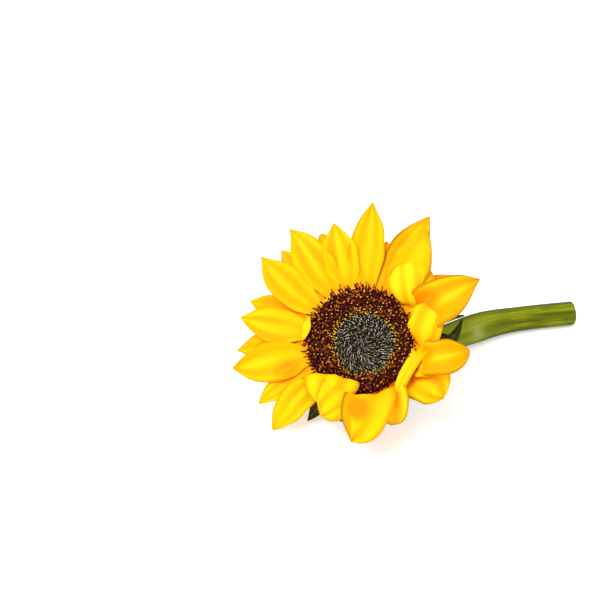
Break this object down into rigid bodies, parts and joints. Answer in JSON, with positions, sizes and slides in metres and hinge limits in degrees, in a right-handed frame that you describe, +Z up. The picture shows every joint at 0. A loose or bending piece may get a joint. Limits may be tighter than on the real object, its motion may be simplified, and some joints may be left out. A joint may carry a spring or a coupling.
{
  "type": "cut sunflower",
  "caption": "Cut sunflower lying on its side: yellow petals in layers round a dark disc, green bracts behind it, and a short thick stem bent behind the head.",
  "frame": {"origin": "bottom centre of the whole flower as it lies, on the surface under it", "axes": "+Z up, away from the surface; +X towards the stem's cut end; the head's face looks towards -Y, a little to -X and upwards"},
  "size_m": [0.1959, 0.131, 0.0955],
  "materials": {
    "stem": "satin",
    "bracts": "matte",
    "petals": "satin",
    "open_florets": "matte",
    "buds": "matte"
  },
  "bodies": {
    "root": {"stem": "stem", "involucre": "bracts", "ray_florets": "petals", "disc_open_florets": "open_florets", "disc_buds": "buds"}
  },
  "joints": []
}
